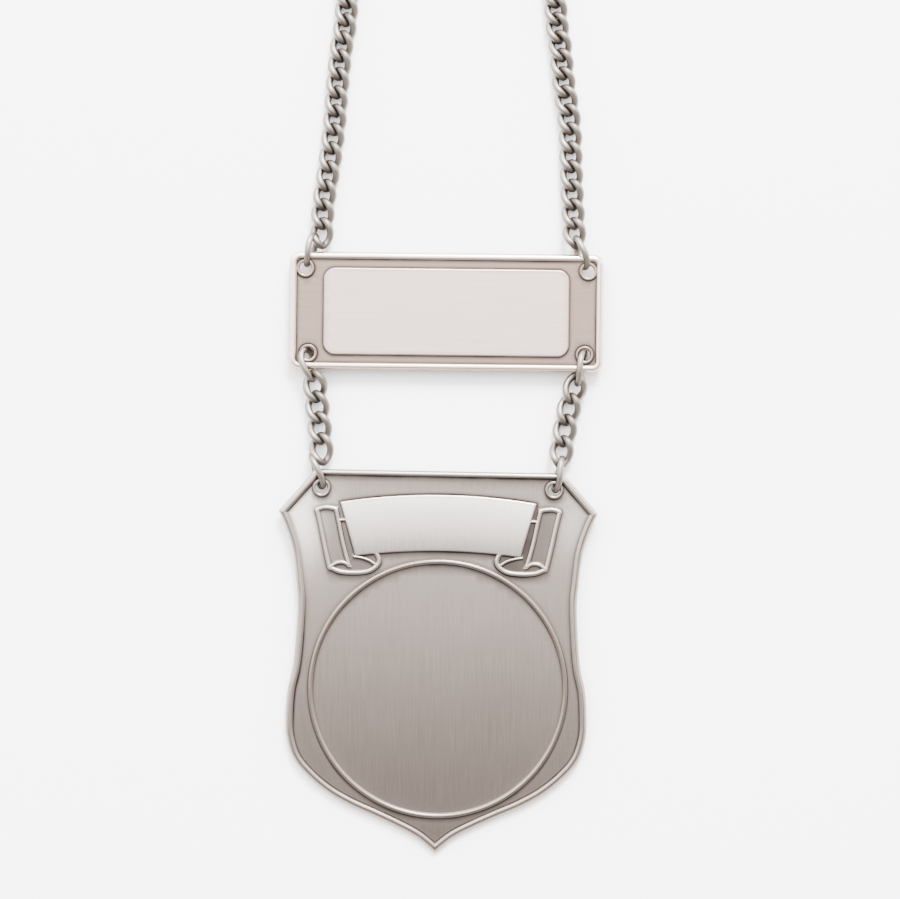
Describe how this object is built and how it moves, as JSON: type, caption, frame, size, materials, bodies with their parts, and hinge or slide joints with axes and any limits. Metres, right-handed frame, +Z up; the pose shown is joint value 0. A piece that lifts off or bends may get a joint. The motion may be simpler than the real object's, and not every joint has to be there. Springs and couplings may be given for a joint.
{
  "type": "carnival prince chain",
  "caption": "Cast shield pendant with an emblem ring and a blank banner, hung from a rimmed name plate by short curb chains, on a long curb neck chain.",
  "frame": {"origin": "on the table under the middle of the box round the whole chain as it lies", "axes": "+Z up out of the table, the front of the castings faces up; +Y from the shield to the neck; +X to the right as seen from the front"},
  "size_m": [0.0914, 0.4414, 0.0079],
  "materials": {
    "antique_silvered_casting": "silvered zinc casting, dark patina at the foot of the relief, brushed",
    "satin_silvered_wire": "satin silvered steel wire"
  },
  "bodies": {
    "root": {"shield": "antique_silvered_casting", "name_plate": "antique_silvered_casting", "neck_chain_left": "satin_silvered_wire", "neck_chain_right": "satin_silvered_wire", "plate_top_left_link": "satin_silvered_wire", "plate_top_right_link": "satin_silvered_wire", "plate_bottom_left_link": "satin_silvered_wire", "plate_bottom_right_link": "satin_silvered_wire", "shield_left_link": "satin_silvered_wire", "shield_right_link": "satin_silvered_wire", "left_chain_link_1": "satin_silvered_wire", "left_chain_link_2": "satin_silvered_wire", "left_chain_link_3": "satin_silvered_wire", "left_chain_link_4": "satin_silvered_wire", "right_chain_link_1": "satin_silvered_wire", "right_chain_link_2": "satin_silvered_wire", "right_chain_link_3": "satin_silvered_wire", "right_chain_link_4": "satin_silvered_wire"}
  },
  "joints": []
}
